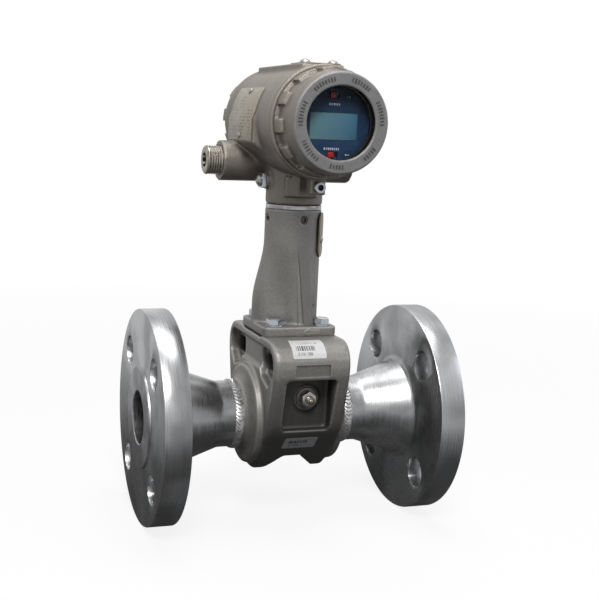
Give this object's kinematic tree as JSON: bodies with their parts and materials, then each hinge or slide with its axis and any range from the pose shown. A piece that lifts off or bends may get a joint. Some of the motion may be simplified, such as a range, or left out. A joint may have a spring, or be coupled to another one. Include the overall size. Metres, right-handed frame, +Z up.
{
  "type": "vortex flow meter",
  "caption": "Flanged inline vortex flow meter: weld neck flanges on a cast body with a shedder bar, a support tube, and a turning transmitter housing with display and terminal covers.",
  "frame": {"origin": "on the flow axis, midway between the two raised faces", "axes": "+X along the flow axis towards the inlet flange, -Y towards the display, +Z up along the support tube"},
  "size_m": [0.222, 0.1617, 0.3322],
  "materials": {
    "machined_stainless": "turned",
    "weld_stainless": "rippled",
    "cast_stainless": "bead blasted",
    "housing_stainless": "bead blasted",
    "fastener_steel": "bright",
    "sensor_steel": "turned",
    "cable_jacket": "matt",
    "paper_label": "matt",
    "etched_tag": "etched",
    "nameplate_metal": "etched",
    "module_plastic": "moulded",
    "circuit_board": "solder mask",
    "spacer_brass": "turned",
    "faceplate_film": "printed film",
    "lcd_glass": "smooth",
    "switch_plastic": "moulded",
    "slider_red": "moulded",
    "terminal_plastic": "moulded",
    "window_glass": "clear",
    "retainer_metal": "blackened",
    "seal_rubber": "matt"
  },
  "bodies": {
    "meter": {"inlet_flange": "machined_stainless", "outlet_flange": "machined_stainless", "inlet_weld": "weld_stainless", "outlet_weld": "weld_stainless", "meter_body": "cast_stainless", "body_labels": "paper_label", "shedder_bar": "machined_stainless", "vortex_sensor": "sensor_steel", "sensor_nut": "fastener_steel", "sensor_cable": "cable_jacket", "ground_stud": "fastener_steel", "ground_stud_washers": "fastener_steel", "ground_stud_nut": "fastener_steel", "support_tube": "cast_stainless", "base_washers": "fastener_steel", "base_bolts": "fastener_steel", "neck_tag": "etched_tag", "neck_tag_pin": "fastener_steel", "housing_set_screws": "fastener_steel", "neck_ring": "machined_stainless"},
    "transmitter": {"housing": "housing_stainless", "nameplate": "nameplate_metal", "nameplate_pins": "fastener_steel", "top_plate": "nameplate_metal", "top_pad_screws": "fastener_steel", "conduit_plug": "fastener_steel", "ground_clamp": "fastener_steel", "ground_screw": "fastener_steel", "cover_lock_screw": "fastener_steel", "electronics_module": "module_plastic", "module_screws": "fastener_steel", "display_board": "circuit_board", "display_spacers": "spacer_brass", "display_faceplate": "faceplate_film", "lcd_panel": "lcd_glass", "alarm_switch": "switch_plastic", "security_switch": "switch_plastic", "terminal_block": "terminal_plastic", "terminal_screws": "fastener_steel", "terminal_block_screws": "fastener_steel"},
    "alarm_setting": {"alarm_slider": "slider_red"},
    "security_setting": {"security_slider": "slider_red"},
    "display_seal": {"display_cover_seal": "seal_rubber"},
    "display_end": {"display_cover": "housing_stainless", "cover_glass": "window_glass", "glass_retainer": "retainer_metal"},
    "terminal_seal": {"terminal_cover_seal": "seal_rubber"},
    "terminal_end": {"terminal_cover": "housing_stainless"}
  },
  "joints": [
    {"name": "housing_rotation", "type": "hinge", "parent": "meter", "child": "transmitter", "pos_m": [0, 0, 0.154], "axis": [0, 0, 1], "range_deg": [-90, 90]},
    {"name": "display_cover_thread_lift", "type": "slide", "parent": "transmitter", "child": "display_seal", "axis": [0, -1, 0], "range_m": [0, 0.0106]},
    {"name": "display_cover_unscrew", "type": "hinge", "parent": "display_seal", "child": "display_end", "pos_m": [0, -0.054, 0.2126], "axis": [0, -1, 0], "range_deg": [0, 2520]},
    {"name": "terminal_cover_thread_lift", "type": "slide", "parent": "transmitter", "child": "terminal_seal", "axis": [0, 1, 0], "range_m": [0, 0.0106]},
    {"name": "terminal_cover_unscrew", "type": "hinge", "parent": "terminal_seal", "child": "terminal_end", "pos_m": [0, 0.054, 0.2126], "axis": [0, 1, 0], "range_deg": [0, 2520]},
    {"name": "alarm_switch_slide", "type": "slide", "parent": "transmitter", "child": "alarm_setting", "axis": [1, 0, 0], "range_m": [0, 0.003]},
    {"name": "security_switch_slide", "type": "slide", "parent": "transmitter", "child": "security_setting", "axis": [1, 0, 0], "range_m": [0, 0.003]}
  ],
  "couplings": [
    {"joint": "display_cover_thread_lift", "follows": "display_cover_unscrew", "m_per_rad": 0.00023873},
    {"joint": "terminal_cover_thread_lift", "follows": "terminal_cover_unscrew", "m_per_rad": 0.00023873}
  ]
}
